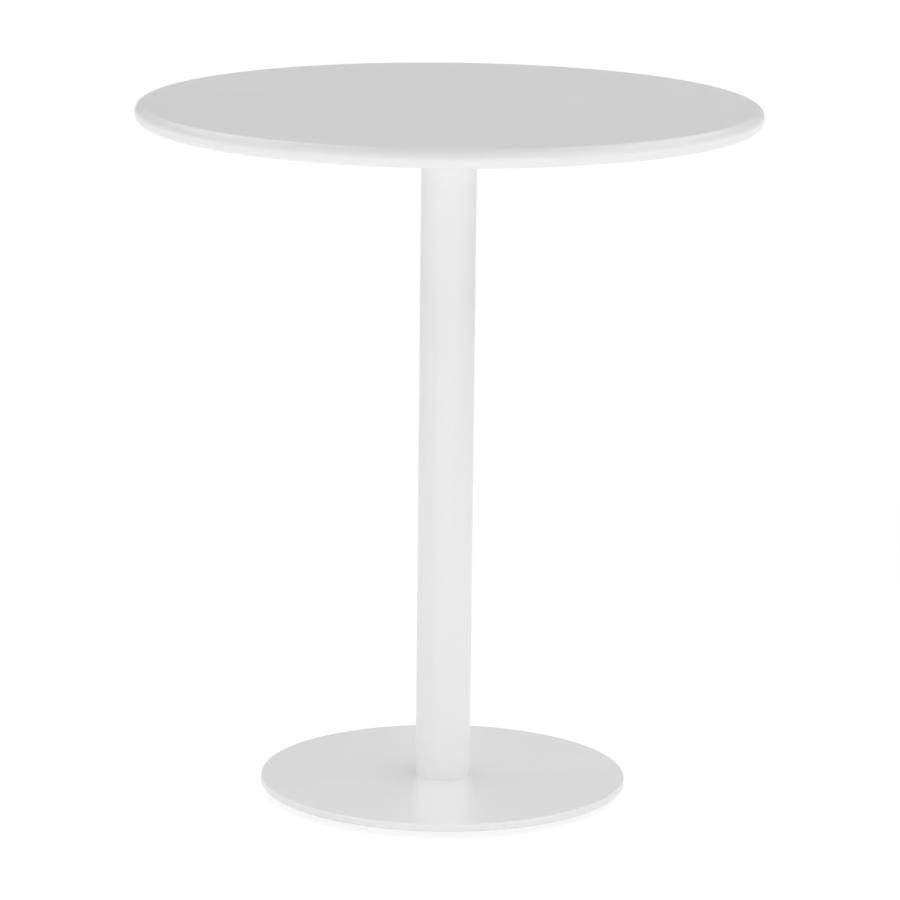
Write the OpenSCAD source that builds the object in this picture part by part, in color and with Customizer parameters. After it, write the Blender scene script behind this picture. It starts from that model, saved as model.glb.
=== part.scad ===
// Round cafe table: a pressed steel top with a rolled edge, on a tubular column and a flat steel disc.
// Millimetres, +Z up, origin on the floor under the column's axis.

/* [Overall] */
// Height of the top surface above the floor, feet screwed home
table_h = 760; // [700:5:1100]
// Diameter of the top over its rolled edge
top_d = 675; // [560:5:800]
// Diameter of the base disc
base_d = 400; // [340:5:520]
// Outer diameter of the column tube
column_d = 60; // [56:1:76]

/* [Pressed top] */
// Thickness of the pressed sheet
sheet_t = 1.5; // [1:0.1:2]
// Outside diameter of the rolled edge
edge_d = 20; // [16:1:26]
// Gap that the end of the roll leaves under the sheet
edge_gap = 1; // [0.5:0.1:2]

/* [Ribs] */
// Depth of a rib, from the sheet to its crown
rib_h = 12; // [11:0.5:16]
// Width of a rib across its webs
rib_w = 30; // [24:1:40]
// Width of each welded flange beyond the web
rib_flange_w = 13; // [8:1:18]
// Sheet thickness of a rib
rib_t = 1.2; // [0.8:0.1:1.5]
// Inside radius of a rib's bends
rib_bend_r = 1.5; // [1:0.1:2]
// Distance from the table's axis to a rib's inner end
rib_start_r = 64; // [50:2:90]
// Space between a rib's outer end and the rolled edge
rib_end_gap = 10; // [4:1:30]
// How far the crown stops short of the flanges at each end
rib_end_slope = 14; // [8:1:24]

/* [Spider] */
// Thickness of the spider plate
spider_t = 5; // [4:0.5:8]
// Width of a spider arm
arm_w = 40; // [30:1:50]
// Radius of the circle of screws that hold the top
arm_screw_r = 150; // [120:5:190]
// Radius of the concave corners between the arms
arm_corner_r = 45; // [35:1:70]
// Hole in the spider's middle that drains the column after painting
drain_d = 22; // [12:1:36]
// Leg of the weld between the column and the spider
weld_leg = 4; // [2:0.5:6]

/* [Column] */
// Wall of the column tube
column_wall = 2; // [1.5:0.1:3]
// Length of the plug welded into the column's foot
plug_h = 20; // [18:1:40]
// Diameter of the plug's pilot in the base disc
pilot_d = 14; // [10:1:15]
// Length of the pilot
pilot_h = 6; // [3:0.5:7]
// Circle of the screws that hold the base disc
plug_screw_pcd = 38; // [33:1:40]

/* [Base disc] */
// Thickness of the base disc
base_t = 8; // [7.5:0.5:14]
// Radius of its top edge
base_edge_r = 1.5; // [0.5:0.1:2.5]
// Chamfer of its bottom edge
base_chamfer = 0.8; // [0.3:0.1:1.5]

/* [Levelling feet] */
// Distance from the base disc's edge to a foot's axis
foot_inset = 32; // [20:1:60]
// Diameter of a foot's plastic pad
pad_d = 28; // [22:1:36]
// Thickness of the pad
pad_h = 4; // [3.6:0.1:6]
// Thickness of the pad under the stud's flange
pad_floor = 1.1; // [0.8:0.1:1.5]
// Diameter of the stud's flange, which the pad holds
flange_d = 12; // [10.5:0.5:15]
// Thickness of that flange
flange_t = 1.4; // [1:0.1:1.6]
// Thickness of the hexagon that a thin spanner turns
foot_hex_t = 2.7; // [2:0.1:4]
// Metal left over a foot's blind hole
hole_roof = 1.3; // [1:0.1:2]

/* [Hidden] */
// M8 hardware, in its standard sizes
m8_d = 8;
m8_hole_d = 9;
m8_hex_w = 13;
m8_head_h = 5.3;
m8_washer_d = 16;
m8_washer_hole_d = 8.4;
m8_washer_t = 1.6;
m8_nut_w = 14;
m8_nut_t = 6.5;
m8_csk_d = 16;
m8_csk_key_w = 5;
m8_csk_key_h = 2.6;
hex_face_inset = 0.25;
hex_chamfer_angle = 30;
top_screw_l = 16;
base_screw_l = 20;

// Clearances
thread_gap = 0.05;  // between a threaded shank and its hole, all round
plug_gap = 0.05;    // between the plug and what it fits, all round
weld_gap = 0.05;    // between the weld and the tube, all round
csk_gap = 0.1;      // between a countersunk head and its seat, all round
flange_gap = 0.1;   // round the stud's flange in its pad
lift_gap = 0.2;     // above that flange
pad_gap = 0.3;      // between the pad and the hexagon
neck_gap = 0.3;     // between the stud's neck and the pad's mouth
hole_end_gap = 0.4; // between a stud's tip and the end of its hole
csk_sink = 0.2;     // how far a countersunk head lies inside the base disc
nut_corner = 1.6;   // how much of a square nut's diagonal its rounded corners lose

// Small edges
pad_edge_r = 1;
mouth_chamfer = 0.5;
cut = 1; // how far a cutting shape runs past what it cuts

// Counts and directions
corner_angles = [45, 135, 225, 315]; // ribs, arms, screws and feet all lie on the diagonals
corners = [1 : len(corner_angles)];
round_fn = 96;
small_fn = 48;

// Levels above the floor
plate_z = pad_h + pad_gap + foot_hex_t;
column_z = plate_z + base_t;
sheet_z = table_h - sheet_t;
crown_z = sheet_z - rib_h;
spider_z = crown_z - spider_t;
column_l = spider_z - column_z;

// Radii and lengths that follow from the sizes above
edge_r = edge_d / 2;
roll_r = top_d / 2 - edge_r;
roll_end_angle = 180 - asin((edge_r - sheet_t - edge_gap) / edge_r);
rib_end_r = top_d / 2 - edge_d - rib_end_gap;
column_bore = column_d - 2 * column_wall;
foot_r = base_d / 2 - foot_inset;
foot_hole_h = base_t - hole_roof;
stud_l = foot_hole_h - hole_end_gap;
shank_d = m8_d - 2 * thread_gap;

coat = "whitesmoke";
zinc = "silver";
steel = "darkgray";
nylon = "dimgray";

// Diameter over the corners of a hexagon that is w across its flats
function over_corners(w) = w / cos(180 / 6);

// Puts its children at radius r on each diagonal
module at_corners(r) {
    for (a = corner_angles)
        rotate(a) translate([r, 0, 0]) children();
}

// Puts its children at radius r on the diagonal numbered i, from 1
module at_corner(i, r) {
    rotate(corner_angles[i - 1]) translate([r, 0, 0]) children();
}

// Quarter ring of bent sheet in the first quadrant, about its centre of bending
module bend(inside_r, t) {
    intersection() {
        difference() {
            circle(inside_r + t, $fn = small_fn);
            circle(inside_r, $fn = small_fn);
        }
        square(inside_r + t);
    }
}

// Section of the rolled edge about its own centre, open at its mouth under the sheet
module rolled_edge_section() {
    far = 2 * edge_r;
    difference() {
        circle(edge_r, $fn = round_fn);
        circle(edge_r - sheet_t, $fn = round_fn);
        polygon([
            [0, 0],
            [0, far],
            [-far, far],
            [far * cos(roll_end_angle), far * sin(roll_end_angle)]
        ]);
    }
}

// Sheet pressed flat, with its rim turned down and rolled into a bead
module tabletop() {
    color(coat)
        rotate_extrude($fn = round_fn) {
            translate([0, sheet_z]) square([roll_r, sheet_t]);
            translate([roll_r, table_h - edge_r]) rolled_edge_section();
        }
}

// Right half of a rib's hat section: the sheet's underside is y = 0 and the crown is lowest
module half_hat_section() {
    web_x = rib_w / 2;
    crown_bend = [web_x - rib_t - rib_bend_r, -rib_h + rib_t + rib_bend_r];
    flange_bend = [web_x + rib_bend_r, -rib_t - rib_bend_r];
    translate([0, -rib_h]) square([crown_bend.x, rib_t]);
    translate(crown_bend) rotate(-90) bend(rib_bend_r, rib_t);
    translate([web_x - rib_t, crown_bend.y]) square([rib_t, flange_bend.y - crown_bend.y]);
    translate(flange_bend) rotate(90) bend(rib_bend_r, rib_t);
    translate([flange_bend.x, -rib_t]) square([rib_flange_w - rib_bend_r, rib_t]);
}

module hat_section() {
    half_hat_section();
    mirror([1, 0]) half_hat_section();
}

// Hat-section rib along +X, its ends sloped up from the crown to the flanges
module rib() {
    length = rib_end_r - rib_start_r;
    half_w = rib_w / 2 + rib_flange_w;
    difference() {
        intersection() {
            rotate([90, 0, 90]) linear_extrude(length) hat_section();
            translate([0, half_w + cut, 0]) rotate([90, 0, 0])
                linear_extrude(2 * (half_w + cut))
                    polygon([
                        [0, cut],
                        [0, -rib_t],
                        [rib_end_slope, -rib_h - cut],
                        [length - rib_end_slope, -rib_h - cut],
                        [length, -rib_t],
                        [length, cut]
                    ]);
        }
        translate([arm_screw_r - rib_start_r, 0, -rib_h - cut])
            cylinder(d = m8_hole_d, h = rib_t + 2 * cut, $fn = small_fn);
    }
}

module top_rib(i) {
    color(coat)
        translate([0, 0, sheet_z]) at_corner(i, rib_start_r) rib();
}

// Square nut with rounded corners, its seat at z = 0
module weld_nut() {
    difference() {
        intersection() {
            translate([-m8_nut_w / 2, -m8_nut_w / 2, 0])
                cube([m8_nut_w, m8_nut_w, m8_nut_t]);
            cylinder(d = sqrt(2) * m8_nut_w - nut_corner, h = m8_nut_t, $fn = small_fn);
        }
        translate([0, 0, -cut]) cylinder(d = m8_d, h = m8_nut_t + 2 * cut, $fn = small_fn);
    }
}

module weld_nuts() {
    color(coat)
        translate([0, 0, crown_z + rib_t]) at_corners(arm_screw_r) weld_nut();
}

// Two crossed bars on the diagonals, with round ends and wide concave corners
module spider_outline() {
    for (a = corner_angles) rotate(a) {
        translate([0, -arm_w / 2]) square([arm_screw_r, arm_w]);
        translate([arm_screw_r, 0]) circle(d = arm_w, $fn = round_fn);
        translate([arm_w / 2, arm_w / 2])
            difference() {
                square(arm_corner_r);
                translate([arm_corner_r, arm_corner_r]) circle(arm_corner_r, $fn = round_fn);
            }
    }
}

// Fillet weld round the column's head, under the spider
module head_weld() {
    inner_r = column_d / 2 + weld_gap;
    rotate_extrude($fn = round_fn)
        polygon([[inner_r, 0], [inner_r + weld_leg, 0], [inner_r, -weld_leg]]);
}

module spider() {
    color(coat)
        translate([0, 0, spider_z]) {
            difference() {
                linear_extrude(spider_t) spider_outline();
                translate([0, 0, -cut]) {
                    cylinder(d = drain_d, h = spider_t + 2 * cut, $fn = round_fn);
                    at_corners(arm_screw_r)
                        cylinder(d = m8_hole_d, h = spider_t + 2 * cut, $fn = small_fn);
                }
            }
            head_weld();
        }
}

module top_washers() {
    color(zinc)
        translate([0, 0, spider_z - m8_washer_t]) at_corners(arm_screw_r)
            difference() {
                cylinder(d = m8_washer_d, h = m8_washer_t, $fn = small_fn);
                translate([0, 0, -cut])
                    cylinder(d = m8_washer_hole_d, h = m8_washer_t + 2 * cut, $fn = small_fn);
            }
}

// Hexagon of width w across its flats and height h, its lower corners chamfered as on a bolt head
module chamfered_hex(w, h) {
    face_r = w / 2 - hex_face_inset;
    intersection() {
        cylinder(d = over_corners(w), h = h, $fn = 6);
        cylinder(r1 = face_r, r2 = face_r + h / tan(hex_chamfer_angle), h = h, $fn = small_fn);
    }
}

// Hexagon screw, its head's bearing face at z = 0 and its shank upwards
module hex_screw(length) {
    translate([0, 0, -m8_head_h]) chamfered_hex(m8_hex_w, m8_head_h);
    cylinder(d = shank_d, h = length, $fn = small_fn);
}

module top_screws() {
    color(zinc)
        translate([0, 0, spider_z - m8_washer_t]) at_corners(arm_screw_r)
            hex_screw(top_screw_l);
}

module column_tube() {
    color(coat)
        translate([0, 0, column_z])
            difference() {
                cylinder(d = column_d, h = column_l, $fn = round_fn);
                translate([0, 0, -cut])
                    cylinder(d = column_bore, h = column_l + 2 * cut, $fn = round_fn);
            }
}

// Turned plug in the column's foot, with a pilot below and four tapped holes
module foot_plug() {
    color(steel)
        translate([0, 0, column_z])
            difference() {
                union() {
                    cylinder(d = column_bore - 2 * plug_gap, h = plug_h, $fn = round_fn);
                    translate([0, 0, -pilot_h]) cylinder(d = pilot_d, h = pilot_h, $fn = small_fn);
                }
                translate([0, 0, -cut]) at_corners(plug_screw_pcd / 2)
                    cylinder(d = m8_d, h = plug_h + 2 * cut, $fn = small_fn);
            }
}

// Section of the base disc, with its top edge rounded and its bottom edge chamfered
module base_section() {
    rim = base_d / 2;
    difference() {
        union() {
            square([rim - base_edge_r, base_t]);
            square([rim, base_t - base_edge_r]);
            translate([rim - base_edge_r, base_t - base_edge_r])
                circle(base_edge_r, $fn = small_fn);
        }
        polygon([
            [rim - base_chamfer, 0],
            [rim + cut, -cut],
            [rim + cut, base_chamfer + cut],
            [rim, base_chamfer]
        ]);
    }
}

// Clearance hole from below with a 90 degree countersink
module csk_hole() {
    mouth_r = m8_csk_d / 2 + csk_sink + csk_gap;
    translate([0, 0, -cut]) {
        cylinder(d = m8_hole_d, h = base_t + 2 * cut, $fn = small_fn);
        cylinder(r1 = mouth_r + cut, r2 = 0, h = mouth_r + cut, $fn = small_fn);
    }
}

// Blind hole from below for a foot's stud, with a chamfered mouth
module foot_hole() {
    translate([0, 0, -cut]) cylinder(d = m8_d, h = foot_hole_h + cut, $fn = small_fn);
    cylinder(d1 = m8_d + 2 * mouth_chamfer, d2 = m8_d, h = mouth_chamfer, $fn = small_fn);
}

module base_plate() {
    color(coat)
        translate([0, 0, plate_z])
            difference() {
                rotate_extrude($fn = round_fn) base_section();
                translate([0, 0, -cut])
                    cylinder(d = pilot_d + 2 * plug_gap, h = base_t + 2 * cut, $fn = small_fn);
                at_corners(plug_screw_pcd / 2) csk_hole();
                at_corners(foot_r) foot_hole();
            }
}

// Countersunk screw with a hexagon socket, its head's flat at z = 0 and its shank upwards
module csk_screw(length) {
    head_r = m8_csk_d / 2;
    difference() {
        union() {
            cylinder(r1 = head_r, r2 = shank_d / 2, h = head_r - shank_d / 2, $fn = small_fn);
            cylinder(d = shank_d, h = length, $fn = small_fn);
        }
        translate([0, 0, -cut])
            cylinder(d = over_corners(m8_csk_key_w), h = m8_csk_key_h + cut, $fn = 6);
    }
}

module base_screws() {
    color(zinc)
        translate([0, 0, plate_z + csk_sink]) at_corners(plug_screw_pcd / 2)
            csk_screw(base_screw_l);
}

// Section of a foot's pad, with the pocket that holds the stud's flange
module pad_section() {
    rim = pad_d / 2;
    flat_r = rim - pad_edge_r;
    pocket_h = flange_t + lift_gap;
    difference() {
        union() {
            translate([0, pad_edge_r]) square([rim, pad_h - 2 * pad_edge_r]);
            square([flat_r, pad_h]);
            for (y = [pad_edge_r, pad_h - pad_edge_r])
                translate([flat_r, y]) circle(pad_edge_r, $fn = small_fn);
        }
        translate([0, pad_floor]) square([flange_d / 2 + flange_gap, pocket_h]);
        translate([0, pad_floor]) square([m8_d / 2 + neck_gap, pad_h]);
    }
}

module foot_pad(i) {
    color(nylon)
        at_corner(i, foot_r) rotate_extrude($fn = round_fn) pad_section();
}

// Stud that turns in its pad: flange, neck, spanner hexagon and threaded shank
module foot_stud(i) {
    hex_z = plate_z - foot_hex_t;
    color(zinc)
        at_corner(i, foot_r) {
            translate([0, 0, pad_floor]) {
                cylinder(d = flange_d, h = flange_t, $fn = small_fn);
                cylinder(d = shank_d, h = plate_z + stud_l - pad_floor, $fn = small_fn);
            }
            translate([0, 0, hex_z]) chamfered_hex(m8_hex_w, foot_hex_t);
        }
}

tabletop();
for (i = corners) top_rib(i);
weld_nuts();
spider();
top_washers();
top_screws();
column_tube();
foot_plug();
base_plate();
base_screws();
for (i = corners) foot_pad(i);
for (i = corners) foot_stud(i);
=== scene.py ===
import math

import bmesh
import bpy
from mathutils import Matrix, Vector


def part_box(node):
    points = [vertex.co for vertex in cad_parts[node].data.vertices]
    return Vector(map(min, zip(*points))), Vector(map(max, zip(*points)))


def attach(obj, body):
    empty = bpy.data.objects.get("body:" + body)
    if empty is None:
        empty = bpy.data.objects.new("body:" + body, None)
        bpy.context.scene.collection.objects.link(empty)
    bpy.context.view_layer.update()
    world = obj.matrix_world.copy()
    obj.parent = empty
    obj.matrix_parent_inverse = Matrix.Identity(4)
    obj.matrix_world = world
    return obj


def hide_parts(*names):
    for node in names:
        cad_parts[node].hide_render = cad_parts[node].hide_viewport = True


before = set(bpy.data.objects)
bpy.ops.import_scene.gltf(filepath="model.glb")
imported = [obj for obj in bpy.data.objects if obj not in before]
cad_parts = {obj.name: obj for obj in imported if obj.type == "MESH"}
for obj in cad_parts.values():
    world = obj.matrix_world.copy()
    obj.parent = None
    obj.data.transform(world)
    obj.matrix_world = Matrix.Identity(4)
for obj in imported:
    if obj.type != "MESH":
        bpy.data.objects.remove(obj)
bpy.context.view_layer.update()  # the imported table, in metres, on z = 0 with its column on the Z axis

MM = 0.001

# Camera, fitted to the outlines of the top, the column and the base disc in the photograph.
# Lengths are in metres, angles in radians, and the sensor's width is in millimetres.
IMAGE_PX = 900
FOCAL_PX = 4810.24
CAMERA_DISTANCE = 5.11768
CAMERA_HEIGHT = 1.48355
CAMERA_PITCH = 0.212439
CAMERA_YAW = 0.000852
CAMERA_ROLL = 0.011156
SENSOR = 36.0


def place_camera():
    """Sets the camera south of the column, looking down at it and rolled a little."""
    forward = Vector((math.sin(CAMERA_YAW) * math.cos(CAMERA_PITCH),
                      math.cos(CAMERA_YAW) * math.cos(CAMERA_PITCH),
                      -math.sin(CAMERA_PITCH)))
    level = Vector((math.cos(CAMERA_YAW), -math.sin(CAMERA_YAW), 0))
    upright = level.cross(forward)
    right = math.cos(CAMERA_ROLL) * level + math.sin(CAMERA_ROLL) * upright
    up = math.cos(CAMERA_ROLL) * upright - math.sin(CAMERA_ROLL) * level
    data = bpy.data.cameras.new("camera")
    data.sensor_width = SENSOR
    data.lens = FOCAL_PX / IMAGE_PX * SENSOR
    data.clip_start = 0.1
    data.clip_end = 200
    camera = bpy.data.objects.new("camera", data)
    turn = Matrix((right, up, -forward)).transposed().to_4x4()
    camera.matrix_world = Matrix.Translation((0, -CAMERA_DISTANCE, CAMERA_HEIGHT)) @ turn
    bpy.context.scene.collection.objects.link(camera)
    bpy.context.scene.camera = camera


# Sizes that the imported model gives


def rounded(value):
    """A size to 0.1 mm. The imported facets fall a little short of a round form."""
    return round(value, 4)


TOP_R = rounded(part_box("tabletop")[1].x)
TOP_Z = rounded(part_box("tabletop")[1].z)
EDGE_R = rounded(TOP_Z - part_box("tabletop")[0].z) / 2
SHEET_Z = rounded(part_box("top_rib_1")[1].z)
CROWN_Z = rounded(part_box("top_rib_1")[0].z)
SPIDER_Z = rounded(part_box("column_tube")[1].z)
WASHER_Z = rounded(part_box("top_washers")[0].z)
COLUMN_R = rounded(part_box("column_tube")[1].x)
COLUMN_Z = rounded(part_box("column_tube")[0].z)
BASE_R = rounded(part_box("base_plate")[1].x)
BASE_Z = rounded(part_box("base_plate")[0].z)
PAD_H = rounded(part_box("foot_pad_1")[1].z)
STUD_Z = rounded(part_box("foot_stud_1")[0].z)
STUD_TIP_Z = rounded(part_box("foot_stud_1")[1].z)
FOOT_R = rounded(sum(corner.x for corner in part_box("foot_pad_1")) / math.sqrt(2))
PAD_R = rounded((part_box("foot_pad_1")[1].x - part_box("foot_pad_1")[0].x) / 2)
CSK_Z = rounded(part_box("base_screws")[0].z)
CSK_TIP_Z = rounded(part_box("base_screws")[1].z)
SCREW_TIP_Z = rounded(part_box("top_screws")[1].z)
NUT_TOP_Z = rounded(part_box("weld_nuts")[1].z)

# Sizes of sheet and tube
SHEET_T = TOP_Z - SHEET_Z
ROLL_GAP = 1.0 * MM
RIB_T = 1.2 * MM
RIB_W = 30 * MM
RIB_FLANGE_W = 13 * MM
RIB_BEND_R = 1.5 * MM
RIB_START_R = 64 * MM
RIB_END_GAP = 10 * MM
RIB_END_SLOPE = 14 * MM
RIB_END_R = TOP_R - 2 * EDGE_R - RIB_END_GAP
COLUMN_WALL = 2 * MM
ARM_W = 40 * MM
ARM_SCREW_R = 150 * MM
ARM_CORNER_R = 45 * MM
DRAIN_R = 11 * MM
WELD_LEG = 4 * MM
BASE_EDGE_R = 1.5 * MM
BASE_CHAMFER = 0.8 * MM
PLUG_SCREW_R = 19 * MM
PILOT_BORE_R = 7.05 * MM

# M8 hardware
THREAD_R = 4 * MM
HOLE_R = 4.5 * MM
CREST_R = 3.95 * MM
THREAD_DEPTH = 0.62 * MM
PITCH = 1.25 * MM
HEX_W = 13 * MM
FACE_INSET = 0.25 * MM
HEAD_H = 5.3 * MM
WASHER_R = 8 * MM
WASHER_HOLE_R = 4.2 * MM
NUT_W = 14 * MM
NUT_CORNER_R = 9.1 * MM
CSK_R = 8 * MM
KEY_W = 5 * MM
KEY_H = 2.6 * MM
FOOT_HEX_H = 2.7 * MM
FLANGE_R = 6 * MM
FLANGE_T = 1.4 * MM

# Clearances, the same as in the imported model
CSK_GAP = 0.1 * MM
THREAD_GAP = 0.05 * MM
HOLE_END_GAP = 0.4 * MM
FLANGE_GAP = 0.1 * MM
LIFT_GAP = 0.2 * MM
NECK_GAP = 0.35 * MM

# Segments of a ring, and degrees between the points of an arc
RING = 288
SMALL_RING = 96
HOLE_RING = 48
DENT_RING = 32
FLOOR_RING = 64
ARM_STEP = 5
BEAD_STEP = 7.5
ROLL_STEP = 12
SMALL_STEP = 15

# A row of points this far from a rounded edge keeps the flat face beside it flat
SUPPORT = 1.0 * MM
# Least angle of an edge that is shaded sharp
SHARP = math.radians(28)
# How far a cutting tool runs past what it cuts
PAST = 1 * MM

CORNERS = [Matrix.Rotation(math.radians(45 + 90 * k), 4, "Z") for k in range(4)]


def at(radius, z=0.0):
    """The four places at a radius on the diagonals, at a height."""
    return [corner @ Matrix.Translation((radius, 0, z)) for corner in CORNERS]


# Meshes


def arc(centre, radius, start, end, step):
    """Points along an arc, from one angle to another in degrees."""
    count = max(2, math.ceil(abs(end - start) / step))
    angles = [math.radians(start + (end - start) * k / count) for k in range(count + 1)]
    return [(centre[0] + radius * math.cos(a), centre[1] + radius * math.sin(a)) for a in angles]


def to_mesh(form, name):
    """Turns a form into a mesh, with its doubled points merged and its faces turned outwards."""
    bmesh.ops.remove_doubles(form, verts=form.verts, dist=1e-7)
    bmesh.ops.recalc_face_normals(form, faces=form.faces)
    mesh = bpy.data.meshes.new(name)
    form.to_mesh(mesh)
    form.free()
    return mesh


def revolve(name, rows, segments=SMALL_RING, closed=False):
    """Form turned about Z from rows of (radius, height). A radius may be a function of the angle.
    A closed section joins its last row to its first. Otherwise its ends are capped."""
    form = bmesh.new()
    rings = []
    for radius, z in rows:
        ring = []
        for k in range(segments):
            angle = math.tau * k / segments
            r = radius(angle) if callable(radius) else radius
            ring.append(form.verts.new((r * math.cos(angle), r * math.sin(angle), z)))
        rings.append(ring[:1] * segments if radius == 0 else ring)
    for low, high in zip(rings, rings[1:] + rings[:1] if closed else rings[1:]):
        for k in range(segments):
            n = (k + 1) % segments
            form.faces.new(dict.fromkeys([low[k], low[n], high[n], high[k]]))
    if not closed:
        for (radius, _), ring in ((rows[0], rings[0]), (rows[-1], rings[-1])):
            if radius != 0:
                form.faces.new(ring)
    bmesh.ops.delete(form, geom=[v for v in form.verts if not v.link_faces], context="VERTS")
    return to_mesh(form, name)


def extrude(name, outline, low, high):
    """Upright prism on an outline of (x, y) points."""
    form = bmesh.new()
    bottom = [form.verts.new((x, y, low)) for x, y in outline]
    top = [form.verts.new((x, y, high)) for x, y in outline]
    form.faces.new(bottom)
    form.faces.new(top)
    for k in range(len(outline)):
        n = (k + 1) % len(outline)
        form.faces.new([bottom[k], bottom[n], top[n], top[k]])
    return to_mesh(form, name)


def repeat(mesh, places):
    """One mesh that holds a copy of another at each place."""
    form = bmesh.new()
    for place in places:
        copy = mesh.copy()
        copy.transform(place)
        form.from_mesh(copy)
        bpy.data.meshes.remove(copy)
    whole = bpy.data.meshes.new(mesh.name)
    form.to_mesh(whole)
    form.free()
    return whole


def solid(name, mesh):
    """A new piece with a mesh."""
    piece = bpy.data.objects.new(name, mesh)
    bpy.context.scene.collection.objects.link(piece)
    return piece


def apply_modifiers(piece):
    """Makes a piece's modifiers part of its mesh."""
    bpy.context.view_layer.update()
    depsgraph = bpy.context.evaluated_depsgraph_get()
    mesh = bpy.data.meshes.new_from_object(piece.evaluated_get(depsgraph))
    piece.modifiers.clear()
    piece.data = mesh


def carve(piece, cutter, operation="DIFFERENCE"):
    """Cuts one mesh out of a piece, or keeps only what they share."""
    tool = solid("tool", cutter)
    modifier = piece.modifiers.new("carve", "BOOLEAN")
    modifier.object = tool
    modifier.operation = operation
    modifier.solver = "EXACT"
    apply_modifiers(piece)
    bpy.data.objects.remove(tool)


def soften(piece, radius):
    """Rounds a piece's sharp edges."""
    bevel = piece.modifiers.new("soften", "BEVEL")
    bevel.width = radius
    bevel.segments = 3
    bevel.limit_method = "ANGLE"
    bevel.angle_limit = math.radians(50)
    apply_modifiers(piece)


def dress(piece, material, slot, body, *nodes):
    """Gives a piece its material and its shading, hangs it on its body and hides the CAD nodes that it
    stands for.
    """
    piece.data.materials.clear()
    piece.data.materials.append(material)
    piece.data.shade_smooth()
    piece.data.set_sharp_from_angle(angle=SHARP)
    even = piece.modifiers.new("even", "WEIGHTED_NORMAL")
    even.keep_sharp = True
    apply_modifiers(piece)
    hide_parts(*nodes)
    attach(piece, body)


# Forms that turn on an angle or a height


def hexagon(width, limit=1.0):
    """Radius of a hexagon across its flats, with corners at 0 degrees and nothing past a limit."""
    def radius(angle):
        from_flat = angle % (math.pi / 3) - math.pi / 6
        return min(width / 2 / math.cos(from_flat), limit)
    return radius


def rounded_square(width, corner_r):
    """Radius of a square across its flats, with its corners turned off."""
    def radius(angle):
        from_flat = (angle + math.pi / 4) % (math.pi / 2) - math.pi / 4
        return min(width / 2 / math.cos(from_flat), corner_r)
    return radius


def thread_radius(crest_r, depth, z):
    """Radius of a helical thread at a height."""
    def radius(angle):
        return crest_r - depth * (1 - math.cos(angle - math.tau * z / PITCH)) / 2
    return radius


def thread(low, high, crest_r=CREST_R, depth=THREAD_DEPTH, fade=1.5):
    """Rows of a right-hand thread that fades in over its first turns and out over its last ones."""
    rows_per_turn = 12
    plain_loss = 0.4  # share of the depth by which the unthreaded ends are thinner than the crests
    count = round((high - low) / PITCH * rows_per_turn)
    rows = []
    for k in range(count + 1):
        z = low + (high - low) * k / count
        share = min(1, (z - low) / PITCH / fade, (high - z) / PITCH / fade)
        top_r = crest_r - (1 - share) * depth * plain_loss
        rows.append((thread_radius(top_r, depth * share, z), z))
    return rows


def hex_rows(low, high, width, chamfer_low=True, chamfer_high=False):
    """Rows of a hexagon whose corners are turned off at 30 degrees towards its chamfered ends."""
    slope = math.radians(30)
    face_r = width / 2 - FACE_INSET
    corner_r = width / 2 / math.cos(math.pi / 6)
    depth = (corner_r - face_r) * math.tan(slope)
    count = 6
    steps = [depth * k / count for k in range(count + 1)]
    limits = [face_r + step / math.tan(slope) for step in steps]
    rows = []
    if chamfer_low:
        rows += [(hexagon(width, r), low + step) for step, r in zip(steps, limits)]
    else:
        rows += [(hexagon(width), low)]
    if chamfer_high:
        rows += [(hexagon(width, r), high - step) for step, r in zip(steps[::-1], limits[::-1])]
    else:
        rows += [(hexagon(width), high)]
    return rows


# Materials

COAT = (0.865, 0.865, 0.862)
COAT_CLOUD = (0.85, 0.85, 0.847)
COAT_RUBBED = (0.66, 0.66, 0.65)
ZINC = (0.72, 0.74, 0.76)
ZINC_DULL = (0.55, 0.57, 0.59)
STEEL = (0.52, 0.51, 0.49)
STEEL_DULL = (0.36, 0.355, 0.34)
NYLON = (0.022, 0.022, 0.024)
NYLON_WORN = (0.06, 0.06, 0.062)


def add(tree, kind, inputs=None, **settings):
    """Adds a shader node. Each input is a value, or the output that feeds it."""
    made = tree.nodes.new("ShaderNode" + kind)
    for name, value in settings.items():
        setattr(made, name, value)
    for name, value in (inputs or {}).items():
        if isinstance(value, bpy.types.NodeSocket):
            tree.links.new(value, made.inputs[name])
        else:
            made.inputs[name].default_value = value
    return made


def noise(tree, place, scale, detail=2.0):
    """Noise from 0 to 1 with about so many bumps to the metre."""
    raw = add(tree, "TexNoise", {"Vector": place, "Scale": scale, "Detail": detail})
    return spread(tree, raw.outputs["Fac"], 0.3, 0.7, 0, 1)


def spread(tree, value, low, high, to_low, to_high):
    """Maps a value's range to another one, and stops at its ends."""
    made = add(tree, "MapRange", {"Value": value, "From Min": low, "From Max": high,
                                  "To Min": to_low, "To Max": to_high})
    return made.outputs["Result"]


def times(tree, a, b):
    """Product of two values or outputs."""
    return add(tree, "Math", {0: a, 1: b}, operation="MULTIPLY").outputs[0]


def blend_colours(tree, share, a, b):
    """Colour from a to b by share. Each colour is three numbers, or an output."""
    full = [c if isinstance(c, bpy.types.NodeSocket) else (*c, 1) for c in (a, b)]
    made = add(tree, "Mix", {0: share, 6: full[0], 7: full[1]}, data_type="RGBA")
    return made.outputs[2]


def bump(tree, height, distance, normal=None):
    """Relief of a height from 0 to 1 over a distance in metres."""
    inputs = {"Height": height, "Distance": distance, "Strength": 1.0}
    if normal is not None:
        inputs["Normal"] = normal
    return add(tree, "Bump", inputs).outputs["Normal"]


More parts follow.
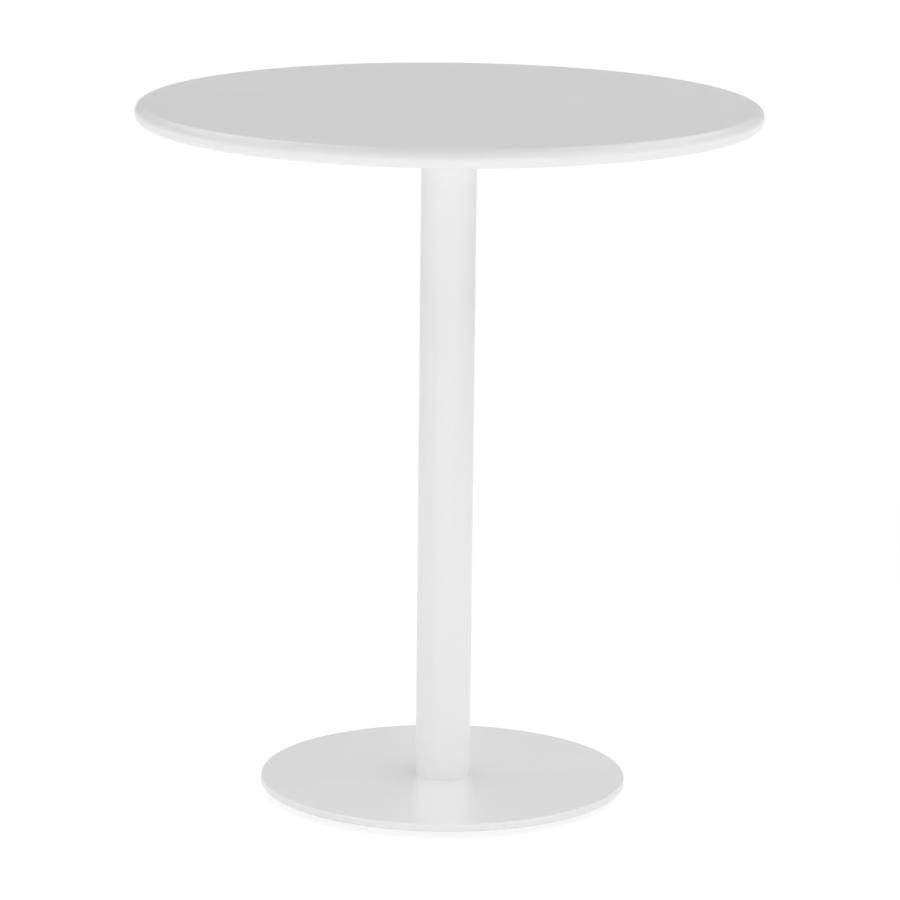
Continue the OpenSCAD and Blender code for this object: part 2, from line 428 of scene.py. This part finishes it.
def edge_mask(tree, width):
    """1 on edges, 0 on flat faces, from how far a rounded normal turns away from the true one."""
    soft = add(tree, "Bevel", {"Radius": width}, samples=4).outputs["Normal"]
    true = add(tree, "NewGeometry").outputs["Normal"]
    even = add(tree, "VectorMath", {0: soft, 1: true}, operation="DOT_PRODUCT").outputs["Value"]
    flat, edge = 0.995, 0.8  # cosines of the turn on a flat face and on an edge
    return spread(tree, even, flat, edge, 0, 1)


def blank(name):
    """A material with a Principled shader, and the object coordinates that its textures use."""
    material = bpy.data.materials.new(name)
    material.use_nodes = True
    tree = material.node_tree
    shader = tree.nodes["Principled BSDF"]
    place = add(tree, "TexCoord").outputs["Object"]
    return material, tree, shader, place


def feed(tree, shader, **outputs):
    """Links outputs to the shader's inputs, whose names are written with _ for a space."""
    for name, output in outputs.items():
        tree.links.new(output, shader.inputs[name.replace("_", " ")])


def powder_coat(name, edges=False):
    """Satin white powder coat: faint clouds, fine orange peel and a finer grain, and on request a
    little wear on its edges."""
    material, tree, shader, place = blank(name)
    cloud = noise(tree, place, scale=6)
    peel = noise(tree, place, scale=620, detail=1)
    grain = noise(tree, place, scale=2400, detail=1)
    colour = blend_colours(tree, cloud, COAT, COAT_CLOUD)
    smooth, rough = 0.285, 0.335
    gloss = spread(tree, noise(tree, place, scale=45), 0, 1, smooth, rough)
    if edges:
        most_wear = 0.35
        worn = times(tree, edge_mask(tree, width=0.5 * MM), noise(tree, place, scale=220))
        colour = blend_colours(tree, times(tree, worn, most_wear), colour, COAT_RUBBED)
    peel_relief = bump(tree, peel, distance=0.02 * MM)
    relief = bump(tree, grain, distance=0.004 * MM, normal=peel_relief)
    feed(tree, shader, Base_Color=colour, Roughness=gloss, Normal=relief)
    shader.inputs["IOR"].default_value = 1.5
    return material


def plated_metal(name, bright, dull, gloss):
    """Metal with a cloudy plating, fine scratches and rubbed edges."""
    material, tree, shader, place = blank(name)
    cloud = noise(tree, place, scale=260, detail=3)
    stretch = (1, 14, 14)
    scratched = add(tree, "Mapping", {"Vector": place, "Scale": stretch}).outputs["Vector"]
    scratches = noise(tree, scratched, scale=420, detail=4)
    most_wear = 0.6
    worn = times(tree, edge_mask(tree, width=0.25 * MM), most_wear)
    colour = blend_colours(tree, worn, blend_colours(tree, cloud, bright, dull), bright)
    scratch_roughness = 0.16
    roughness = spread(tree, scratches, 0, 1, gloss, gloss + scratch_roughness)
    cloud_relief = bump(tree, cloud, distance=0.006 * MM)
    relief = bump(tree, scratches, distance=0.003 * MM, normal=cloud_relief)
    feed(tree, shader, Base_Color=colour, Roughness=roughness, Normal=relief)
    shader.inputs["Metallic"].default_value = 1.0
    return material


def nylon(name):
    """Moulded black nylon with a spark-eroded grain, rubbed grey on its edges."""
    material, tree, shader, place = blank(name)
    grain = noise(tree, place, scale=1500, detail=3)
    rubbed = times(tree, edge_mask(tree, width=0.6 * MM), noise(tree, place, scale=300))
    colour = blend_colours(tree, rubbed, NYLON, NYLON_WORN)
    smooth, rough = 0.5, 0.66
    roughness = spread(tree, noise(tree, place, scale=180), 0, 1, smooth, rough)
    relief = bump(tree, grain, distance=0.015 * MM)
    feed(tree, shader, Base_Color=colour, Roughness=roughness, Normal=relief)
    return material


# Top


def pressed_top():
    """The sheet, with its rim turned down and rolled into a bead that ends just under it."""
    centre = (TOP_R - EDGE_R, TOP_Z - EDGE_R)
    inner_r = EDGE_R - SHEET_T
    roll_end = 180 - math.degrees(math.asin((inner_r - ROLL_GAP) / EDGE_R)) - 360
    flat_r = centre[0] - SUPPORT
    section = [(0, TOP_Z), (flat_r, TOP_Z), *arc(centre, EDGE_R, 90, roll_end, BEAD_STEP),
               *arc(centre, inner_r, roll_end, 90, ROLL_STEP), (flat_r, SHEET_Z), (0, SHEET_Z)]
    piece = solid("pressed_top", revolve("pressed_top", section, RING))
    dress(piece, coat, "powder_coat", "table", "tabletop")


def hat_section():
    """Outline of a rib's section as (across, height) from the sheet's underside."""
    web_x = RIB_W / 2
    rib_h = SHEET_Z - CROWN_Z
    outer_r = RIB_BEND_R + RIB_T
    crown_bend = (web_x - outer_r, outer_r - rib_h)
    flange_bend = (web_x + RIB_BEND_R, -outer_r)
    half = [*arc(crown_bend, outer_r, -90, 0, SMALL_STEP),
            *arc(flange_bend, RIB_BEND_R, 180, 90, SMALL_STEP),
            (web_x + RIB_FLANGE_W, -RIB_T), (web_x + RIB_FLANGE_W, 0),
            *arc(flange_bend, outer_r, 90, 180, SMALL_STEP),
            *arc(crown_bend, RIB_BEND_R, 0, -90, SMALL_STEP)]
    mirrored = [(-x, y) for x, y in half[::-1]]
    return half + mirrored


def spot_weld_dent():
    """Shallow round dent that an electrode leaves, as a tool that enters the flange from below."""
    ring_r = 3.2 * MM
    depth = 0.22 * MM
    count = 6
    dish = [(ring_r * k / count, depth * (1 + math.cos(math.pi * k / count)) / 2)
            for k in range(count + 1)]
    return revolve("dent", [*dish, (ring_r, -depth), (0, -depth)], DENT_RING)


def ribs():
    """Four hat-section ribs with sloped ends, spot-welded along their flanges."""
    length = RIB_END_R - RIB_START_R
    rib_h = SHEET_Z - CROWN_Z
    stand_up = Matrix(((0, 0, 1, 0), (1, 0, 0, 0), (0, 1, 0, 0), (0, 0, 0, 1)))
    blank_rib = extrude("rib", hat_section(), 0, length)
    blank_rib.transform(stand_up)
    slope = RIB_END_SLOPE
    ends = [(0, PAST), (0, -RIB_T), (slope, -rib_h - PAST), (length - slope, -rib_h - PAST),
            (length, -RIB_T), (length, PAST)]
    profile = extrude("profile", ends, -RIB_W, RIB_W)
    profile.transform(Matrix.Rotation(math.pi / 2, 4, "X"))
    piece = solid("rib", blank_rib)
    carve(piece, profile, "INTERSECT")
    hole = revolve("hole", [(HOLE_R, -rib_h - PAST), (HOLE_R, -rib_h + RIB_T + PAST)], HOLE_RING)
    hole.transform(Matrix.Translation((ARM_SCREW_R - RIB_START_R, 0, 0)))
    carve(piece, hole)
    weld_y = RIB_W / 2 + RIB_BEND_R + (RIB_FLANGE_W - RIB_BEND_R) / 2
    weld_count = 7
    weld_step = (length - 2 * RIB_END_SLOPE) / (weld_count - 1)
    spots = [Matrix.Translation((RIB_END_SLOPE + weld_step * k, side * weld_y, -RIB_T))
             for k in range(weld_count) for side in (-1, 1)]
    carve(piece, repeat(spot_weld_dent(), spots))
    for number, place in enumerate(at(RIB_START_R, SHEET_Z), 1):
        mesh = piece.data.copy()
        mesh.transform(place)
        dress(solid(f"hat_rib_{number}", mesh), worn_coat, "powder_coat",
              "table", f"top_rib_{number}")
    bpy.data.objects.remove(piece)


def square_nuts():
    """Four square weld nuts inside the ribs, with threaded holes."""
    low = CROWN_Z + RIB_T
    chamfer = 0.5 * MM
    outside = [(rounded_square(NUT_W, NUT_CORNER_R - chamfer), low),
               (rounded_square(NUT_W, NUT_CORNER_R), low + chamfer),
               (rounded_square(NUT_W, NUT_CORNER_R), NUT_TOP_Z - chamfer),
               (rounded_square(NUT_W, NUT_CORNER_R - chamfer), NUT_TOP_Z)]
    hole = thread(low, NUT_TOP_Z, crest_r=THREAD_R + THREAD_DEPTH)
    mesh = revolve("nut", outside + hole[::-1], closed=True)
    piece = solid("square_nuts", repeat(mesh, at(ARM_SCREW_R)))
    dress(piece, worn_coat, "powder_coat", "table", "weld_nuts")


# Spider and its fasteners


def spider_plate():
    """Laser-cut plate of two crossed arms with round ends and wide concave corners."""
    outline = []
    corner = ARM_W / 2 + ARM_CORNER_R
    for k in range(4):
        turn = Matrix.Rotation(math.radians(45 + 90 * k), 2)
        quarter = [*arc((ARM_SCREW_R, 0), ARM_W / 2, -90, 90, ARM_STEP),
                   *arc((corner, corner), ARM_CORNER_R, 270, 180, ARM_STEP)]
        outline += [tuple(turn @ Vector(point)) for point in quarter]
    piece = solid("spider_plate", extrude("spider_plate", outline, SPIDER_Z, CROWN_Z))
    drain = revolve("drain", [(DRAIN_R, SPIDER_Z - PAST), (DRAIN_R, CROWN_Z + PAST)])
    hole = revolve("hole", [(HOLE_R, SPIDER_Z - PAST), (HOLE_R, CROWN_Z + PAST)], HOLE_RING)
    carve(piece, drain)
    carve(piece, repeat(hole, at(ARM_SCREW_R)))
    soften(piece, 0.5 * MM)
    dress(piece, worn_coat, "powder_coat", "table", "spider")


def head_weld():
    """Rippled fillet weld between the column's head and the spider."""
    ripples = 84
    points_per_ripple = 8
    ripple_h = 0.16 * MM
    ripple_bow = 1.6      # how far, in radians, a ripple lags at the edges of the bead
    wander_h = 0.2 * MM
    sag = 0.55 * MM
    sink = 0.15 * MM      # how far the bead reaches into the tube and the plate
    slant = 0.7           # share of the sag that goes outwards, and of it that goes down
    across = 10

    def surface(share):
        """Radius function of the bead's face, from the tube's wall at 0 to the plate at 1."""
        along = 2 * share - 1
        cover = 1 - along ** 2

        def radius(angle):
            wander = wander_h * math.sin(5 * angle) * math.sin(3 * angle + 1)
            ripple = ripple_h * math.cos(ripples * angle + ripple_bow * along ** 2)
            return (COLUMN_R - sink + (WELD_LEG + sink) * share
                    + cover * (sag + ripple + wander) * slant)
        return radius

    def height(share):
        cover = 1 - (2 * share - 1) ** 2
        return SPIDER_Z - (WELD_LEG + sink) * (1 - share) - cover * sag * slant

    rows = [(surface(k / across), height(k / across)) for k in range(across + 1)]
    back = [(COLUMN_R - sink, SPIDER_Z + sink)]
    mesh = revolve("head_weld", [*rows, *back], points_per_ripple * ripples, closed=True)
    dress(solid("head_weld", mesh), coat, "powder_coat", "table", "spider")


def washers():
    """Four flat washers between the screws' heads and the spider."""
    low, high = WASHER_Z, SPIDER_Z
    edge = 0.25 * MM
    section = [(WASHER_HOLE_R + edge, low), (WASHER_R - edge, low), (WASHER_R, low + edge),
               (WASHER_R, high - edge), (WASHER_R - edge, high), (WASHER_HOLE_R + edge, high),
               (WASHER_HOLE_R, high - edge), (WASHER_HOLE_R, low + edge)]
    mesh = repeat(revolve("washer", section, closed=True), at(ARM_SCREW_R))
    dress(solid("washers", mesh), zinc, "zinc_plate", "table", "top_washers")


def hex_screws():
    """Four hexagon screws, heads down, with a washer face under the head and a thread above it."""
    low = WASHER_Z - HEAD_H
    face_h = 0.4 * MM
    face_r = 5.8 * MM
    tip = 0.8 * MM
    dimple_r = 4.6 * MM
    dimple_floor_r = dimple_r * 0.8
    dimple_h = 0.25 * MM
    rows = [(0, low + dimple_h), (dimple_floor_r, low + dimple_h), (dimple_r, low),
            *hex_rows(low, WASHER_Z - face_h, HEX_W),
            (face_r, WASHER_Z - face_h), (face_r, WASHER_Z), (CREST_R, WASHER_Z),
            *thread(WASHER_Z + tip, SCREW_TIP_Z - tip),
            (CREST_R - THREAD_DEPTH, SCREW_TIP_Z), (0, SCREW_TIP_Z)]
    mesh = repeat(revolve("screw", rows), at(ARM_SCREW_R))
    dress(solid("hex_screws", mesh), zinc, "zinc_plate", "table", "top_screws")


# Column and base


def column():
    """Plain tube from the base disc to the spider."""
    inner_r = COLUMN_R - COLUMN_WALL
    section = [(inner_r, COLUMN_Z), (COLUMN_R, COLUMN_Z),
               (COLUMN_R, SPIDER_Z), (inner_r, SPIDER_Z)]
    piece = solid("column", revolve("column", section, RING, closed=True))
    dress(piece, coat, "powder_coat", "table", "column_tube")


def base_disc():
    """Flat disc with a rounded top edge, and all of its holes worked from below."""
    round_centre = (BASE_R - BASE_EDGE_R, COLUMN_Z - BASE_EDGE_R)
    flat_r = BASE_R - BASE_EDGE_R - SUPPORT
    section = [(PILOT_BORE_R, BASE_Z), (BASE_R - BASE_CHAMFER - SUPPORT, BASE_Z),
               (BASE_R - BASE_CHAMFER, BASE_Z), (BASE_R, BASE_Z + BASE_CHAMFER),
               (BASE_R, round_centre[1] - SUPPORT),
               *arc(round_centre, BASE_EDGE_R, 0, 90, SMALL_STEP),
               (flat_r, COLUMN_Z), (PILOT_BORE_R, COLUMN_Z)]
    piece = solid("base_disc", revolve("base_disc", section, RING, closed=True))
    mouth_r = CSK_R + CSK_Z - BASE_Z + CSK_GAP
    cone = [(mouth_r + PAST, BASE_Z - PAST), (HOLE_R, BASE_Z + mouth_r - HOLE_R),
            (HOLE_R, COLUMN_Z + PAST)]
    hole_r = CREST_R + THREAD_GAP
    chamfer = 0.5 * MM
    blind = [(hole_r + chamfer + PAST, BASE_Z - PAST), (hole_r, BASE_Z + chamfer),
             (hole_r, STUD_TIP_Z + HOLE_END_GAP)]
    carve(piece, repeat(revolve("cone", cone, HOLE_RING), at(PLUG_SCREW_R)))
    carve(piece, repeat(revolve("blind", blind, HOLE_RING), at(FOOT_R)))
    dress(piece, coat, "powder_coat", "table", "base_plate")


def countersunk_screws():
    """Four countersunk screws with hexagon sockets, seen from below the base disc."""
    land = 0.3 * MM
    lip = 0.3 * MM
    tip = 0.8 * MM
    key = hexagon(KEY_W)
    key_mouth_r = KEY_W / 2 / math.cos(math.pi / 6) + 0.1 * MM
    drill_r = KEY_W * 0.42
    drill_point_h = 0.7 * MM
    floor_z = CSK_Z + KEY_H
    cone_z = CSK_Z + land + CSK_R - CREST_R
    rim = [(CSK_R - 0.2 * MM, CSK_Z), (CSK_R - 0.05 * MM, CSK_Z + land / 2),
           (CSK_R - land / 2, CSK_Z + land)]
    rows = [(0, floor_z + drill_point_h), (drill_r, floor_z), (key, floor_z), (key, CSK_Z + lip),
            (key_mouth_r, CSK_Z), *rim,
            (CREST_R, cone_z), *thread(cone_z + tip, CSK_TIP_Z - tip),
            (CREST_R - THREAD_DEPTH, CSK_TIP_Z), (0, CSK_TIP_Z)]
    mesh = repeat(revolve("csk_screw", rows), at(PLUG_SCREW_R))
    dress(solid("countersunk_screws", mesh), zinc, "zinc_plate", "table", "base_screws")


# Feet


def feet():
    """Four nylon pads, each snapped over the flange of a threaded stud with a spanner hexagon."""
    pad = revolve("pad", pad_section())
    stud = revolve("stud", stud_rows())
    for number, place in enumerate(at(FOOT_R), 1):
        pad_mesh = pad.copy()
        pad_mesh.transform(place)
        dress(solid(f"pad_{number}", pad_mesh), black_nylon, "pad_plastic",
              f"pad_{number}", f"foot_pad_{number}")
        stud_mesh = stud.copy()
        stud_mesh.transform(place)
        dress(solid(f"stud_{number}", stud_mesh), zinc, "zinc_plate",
              f"stud_{number}", f"foot_stud_{number}")


def pad_section():
    """Half section of a pad, with its pocket for the flange, and ring grooves and the mark of the
    mould's gate in its sole."""
    edge_r = 1 * MM
    side_r = PAD_R - edge_r
    pocket_r = FLANGE_R + FLANGE_GAP
    pocket_top = STUD_Z + FLANGE_T + LIFT_GAP
    mouth_r = CREST_R + NECK_GAP
    mouth_chamfer = 0.2 * MM
    groove_h = 0.35 * MM
    groove_w = 0.9 * MM
    groove_taper = 0.2
    gate_r = 1.2 * MM
    gate_floor_r = 0.8 * MM
    gate_h = 0.25 * MM
    sole = []
    for groove_r in (9.6 * MM, 6.6 * MM, 3.6 * MM):
        sole += [(groove_r + groove_w, 0), (groove_r + groove_w * (1 - groove_taper), groove_h),
                 (groove_r + groove_w * groove_taper, groove_h), (groove_r, 0)]
    return [(0, STUD_Z), (pocket_r, STUD_Z), (pocket_r, pocket_top), (mouth_r, pocket_top),
            (mouth_r, PAD_H - mouth_chamfer), (mouth_r + mouth_chamfer, PAD_H),
            *arc((side_r, PAD_H - edge_r), edge_r, 90, 0, SMALL_STEP),
            *arc((side_r, edge_r), edge_r, 0, -90, SMALL_STEP),
            *sole, (gate_r, 0), (gate_floor_r, gate_h), (0, gate_h)]


def stud_rows():
    """Rows of a stud: flange, neck, spanner hexagon and thread."""
    edge = 0.15 * MM
    flange_top = STUD_Z + FLANGE_T
    hex_low = BASE_Z - FOOT_HEX_H
    relief_h = 0.5 * MM
    relief_r = CREST_R - THREAD_DEPTH * 0.6
    tip = 0.6 * MM
    fade = 0.7
    return [(0, STUD_Z), (FLANGE_R - edge, STUD_Z), (FLANGE_R, STUD_Z + edge),
            (FLANGE_R, flange_top - edge), (FLANGE_R - edge, flange_top), (CREST_R, flange_top),
            (CREST_R, hex_low), *hex_rows(hex_low, BASE_Z, HEX_W, chamfer_high=True),
            (relief_r, BASE_Z), (relief_r, BASE_Z + relief_h),
            *thread(BASE_Z + relief_h, STUD_TIP_Z - tip, fade=fade),
            (CREST_R - THREAD_DEPTH, STUD_TIP_Z), (0, STUD_TIP_Z)]


# Light, floor and background

# Strength of the sky, and of what lies under the floor. The light changes from one to the other
# between two elevations, which are given as sines.
SKY = 0.35
UNDERNEATH = 0.5
SKY_END, UNDERNEATH_START = -0.1, -0.3

# The floor has a colour for the rays that light the table. For the rays that see it, it has a shade
# and a glow near the table, turns white between two distances, and from half its radius on it
# fades to the sky. The opening under the base disc has a soft edge between two radii.
FLOOR_R = 40.0
FLOOR_COLOUR = 0.9
FLOOR_SHADE = 0.3
FLOOR_GLOW = 0.78
SHADE_END_R, WHITE_R = 0.6, 1.6
OPENING_R, OPENING_EDGE_R = BASE_R - 10 * MM, BASE_R - 5 * MM


def background_rays(tree):
    """1 for the rays that show the background: those of the camera, glossy surfaces and glass."""
    path = add(tree, "LightPath").outputs
    seen = larger(tree, path["Is Camera Ray"], path["Is Glossy Ray"])
    return larger(tree, seen, path["Is Transmission Ray"])


def larger(tree, a, b):
    """Larger of two values or outputs."""
    return add(tree, "Math", {0: a, 1: b}, operation="MAXIMUM").outputs[0]


def diffuse(tree, shade):
    """Matt grey surface."""
    return add(tree, "BsdfDiffuse", {"Color": (shade, shade, shade, 1)}).outputs[0]


def emission(tree, strength):
    """White glow."""
    return add(tree, "Emission", {"Color": (1, 1, 1, 1), "Strength": strength}).outputs[0]


def mix(tree, share, a, b):
    """Shader from a to b by share."""
    return add(tree, "MixShader", {0: share, 1: a, 2: b}).outputs[0]


def light_world():
    """Even sky, and a little more light from below, which only the opening in the floor lets in."""
    world = bpy.data.worlds.new("studio")
    bpy.context.scene.world = world
    world.use_nodes = True
    tree = world.node_tree
    tree.nodes.clear()
    direction = add(tree, "TexCoord").outputs["Generated"]
    rise = add(tree, "SeparateXYZ", {0: direction}).outputs["Z"]
    strength = spread(tree, rise, UNDERNEATH_START, SKY_END, UNDERNEATH, SKY)
    sky = add(tree, "Background", {"Color": (1, 1, 1, 1), "Strength": strength})
    add(tree, "OutputWorld", {"Surface": sky.outputs[0]})


def lay_floor():
    """Pale floor that keeps the table's shadow, turns white around it and far away meets the sky.
    It is clear from below, and under the base disc for all rays but the camera's, so that light
    reaches what is seen from there."""
    disc = bmesh.new()
    bmesh.ops.create_circle(disc, cap_ends=True, radius=FLOOR_R, segments=FLOOR_RING)
    piece = solid("floor", to_mesh(disc, "floor"))
    material = bpy.data.materials.new("floor")
    material.use_nodes = True
    tree = material.node_tree
    tree.nodes.clear()
    place = add(tree, "TexCoord").outputs["Object"]
    away = add(tree, "VectorMath", {0: place}, operation="LENGTH").outputs["Value"]
    pale = diffuse(tree, FLOOR_COLOUR)
    near = add(tree, "AddShader", {0: diffuse(tree, FLOOR_SHADE), 1: emission(tree, FLOOR_GLOW)})
    white = emission(tree, spread(tree, away, FLOOR_R / 2, FLOOR_R, 1, SKY))
    seen = mix(tree, spread(tree, away, SHADE_END_R, WHITE_R, 0, 1), near.outputs[0], white)
    lit = mix(tree, background_rays(tree), pale, seen)
    below = add(tree, "NewGeometry").outputs["Backfacing"]
    under_base = spread(tree, away, OPENING_R, OPENING_EDGE_R, 1, 0)
    unseen = spread(tree, add(tree, "LightPath").outputs["Is Camera Ray"], 0, 1, 1, 0)
    opening = larger(tree, below, times(tree, under_base, unseen))
    clear = add(tree, "BsdfTransparent").outputs[0]
    add(tree, "OutputMaterial", {"Surface": mix(tree, opening, lit, clear)})
    piece.data.materials.append(material)


# Places and sizes of the lamps, in degrees and metres. Each faces the column's axis at its aim_z.
HIGH = {"elevation": 48, "distance": 5.0, "aim_z": 0.4, "width": 5.0, "height": 2.5}
LOW = {"elevation": 6, "distance": 2.5, "aim_z": 0.3, "width": 3.0, "height": 0.5}
UNDER = {"elevation": -30, "distance": 1.6, "aim_z": 0.9, "width": 2.2, "height": 0.8}


def softbox(name, azimuth, power, elevation, distance, aim_z, width, height):
    """Rectangular soft lamp. Azimuth 0 is on the camera's side, and power is in watts."""
    data = bpy.data.lights.new(name, "AREA")
    data.shape = "RECTANGLE"
    data.size = width
    data.size_y = height
    data.energy = power
    lamp = bpy.data.objects.new(name, data)
    turn, tilt = math.radians(azimuth), math.radians(elevation)
    away = Vector((math.sin(turn) * math.cos(tilt), -math.cos(turn) * math.cos(tilt),
                   math.sin(tilt)))
    lamp.matrix_world = (Matrix.Translation(away * distance + Vector((0, 0, aim_z)))
                         @ (-away).to_track_quat("-Z", "Y").to_matrix().to_4x4())
    lamp.visible_camera = False
    bpy.context.scene.collection.objects.link(lamp)


# The whole scene

place_camera()
coat = powder_coat("satin_coat")
worn_coat = powder_coat("satin_coat_worn", edges=True)
zinc = plated_metal("bright_zinc", ZINC, ZINC_DULL, gloss=0.26)
steel = plated_metal("oiled_steel", STEEL, STEEL_DULL, gloss=0.3)
black_nylon = nylon("black_nylon")
pressed_top()
ribs()
square_nuts()
spider_plate()
head_weld()
washers()
hex_screws()
column()
base_disc()
countersunk_screws()
feet()

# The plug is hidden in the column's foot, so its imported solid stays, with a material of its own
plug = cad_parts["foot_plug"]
plug.data.materials.clear()
plug.data.materials.append(steel)

light_world()
lay_floor()
softbox("high_left", azimuth=-65, power=28.5, **HIGH)
softbox("high_right", azimuth=65, power=47, **HIGH)
softbox("high_back_left", azimuth=-130, power=57, **HIGH)
softbox("high_back_right", azimuth=130, power=57, **HIGH)
softbox("low_left", azimuth=-45, power=8.7, **LOW)
softbox("low_right", azimuth=45, power=8.7, **LOW)
softbox("low_side_left", azimuth=-90, power=4.2, **LOW)
softbox("low_side_right", azimuth=90, power=4.2, **LOW)
softbox("under_front", azimuth=0, power=5.9, **UNDER)
bpy.context.scene.view_settings.view_transform = "Standard"
